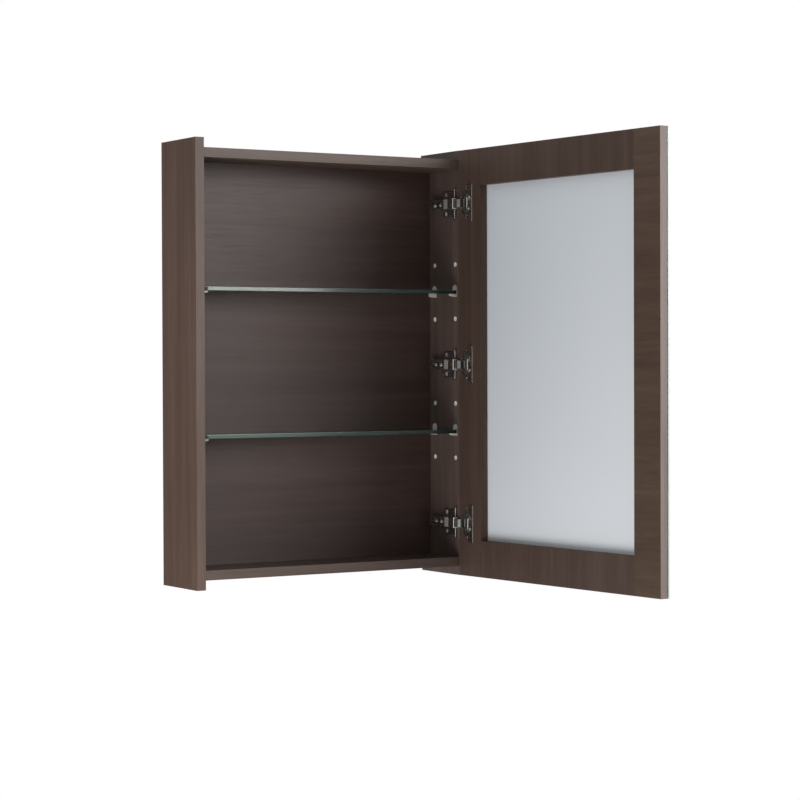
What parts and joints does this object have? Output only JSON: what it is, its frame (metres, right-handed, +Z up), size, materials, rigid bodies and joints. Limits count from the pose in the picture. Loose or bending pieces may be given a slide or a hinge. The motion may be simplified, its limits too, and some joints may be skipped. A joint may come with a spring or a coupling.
{
  "type": "mirrored bathroom cabinet",
  "caption": "Wall-hung bathroom cabinet: dark timber-grain case, glass shelves on metal pegs, and a full-face mirror door on concealed cup hinges, shown open.",
  "frame": {"origin": "midway between the two wall screws, on the wall plane", "axes": "+X to the right as seen from the room, +Y into the wall, +Z up"},
  "size_m": [0.5362, 0.6293, 0.7112],
  "materials": {
    "case_laminate": "dark walnut-grain laminate, satin",
    "back_laminate": "dark walnut-grain laminate, grain across, satin",
    "door_laminate": "dark walnut-grain laminate, satin",
    "edge_band": "dark walnut-grain edge banding, satin",
    "raw_timber": "plain unfinished timber",
    "nickel_pegs": "polished nickel plate",
    "hinge_nickel": "nickel-plated pressed steel",
    "screw_steel": "nickel-plated steel",
    "zinc_fittings": "zinc die casting",
    "shelf_glass": "clear float glass with polished green edges",
    "mirror": "silvered float glass with polished edges",
    "mirror_paint": "grey protective mirror-backing paint",
    "foam_tape": "closed-cell foam mounting tape"
  },
  "bodies": {
    "case": {"arm_screws": "screw_steel", "back_panel": "back_laminate", "bottom_panel": "case_laminate", "cabinet_cleat": "raw_timber", "cam_bolts": "zinc_fittings", "cam_locks": "zinc_fittings", "case_dowels": "raw_timber", "case_edge_bands": "edge_band", "hinge_arm_bottom": "hinge_nickel", "hinge_arm_middle": "hinge_nickel", "hinge_arm_top": "hinge_nickel", "hinge_plate_bottom": "hinge_nickel", "hinge_plate_middle": "hinge_nickel", "hinge_plate_top": "hinge_nickel", "peg_sleeves": "nickel_pegs", "plate_screws": "screw_steel", "shelf_lower": "shelf_glass", "shelf_pegs_lower": "nickel_pegs", "shelf_pegs_upper": "nickel_pegs", "shelf_upper": "shelf_glass", "side_panel_left": "case_laminate", "side_panel_right": "case_laminate", "spacer_rail": "raw_timber", "top_panel": "case_laminate", "wall_cleat": "raw_timber"},
    "hinge_links": {"hinge_link_bottom": "hinge_nickel", "hinge_link_middle": "hinge_nickel", "hinge_link_top": "hinge_nickel", "hinge_pins": "screw_steel"},
    "door": {"cup_screws": "screw_steel", "door_dowels": "raw_timber", "door_edge_bands": "edge_band", "door_rail_bottom": "door_laminate", "door_rail_top": "door_laminate", "door_stile_free": "door_laminate", "door_stile_hinge": "door_laminate", "hinge_cup_bottom": "hinge_nickel", "hinge_cup_middle": "hinge_nickel", "hinge_cup_top": "hinge_nickel", "mirror_glass": "mirror", "mirror_paint": "mirror_paint", "mirror_tape": "foam_tape"}
  },
  "joints": [
    {"name": "link_swing", "type": "hinge", "parent": "case", "child": "hinge_links", "pos_m": [0.2309, -0.1153, 0], "axis": [0, 0, 1], "range_deg": [-0.6, 18.7]},
    {"name": "door_swing", "type": "hinge", "parent": "hinge_links", "child": "door", "pos_m": [0.24018, -0.13185, 0], "axis": [0, 0, 1], "range_deg": [-112.2, 3.6]}
  ],
  "couplings": [
    {"joint": "link_swing", "follows": "door_swing", "ratio": -0.16667}
  ]
}
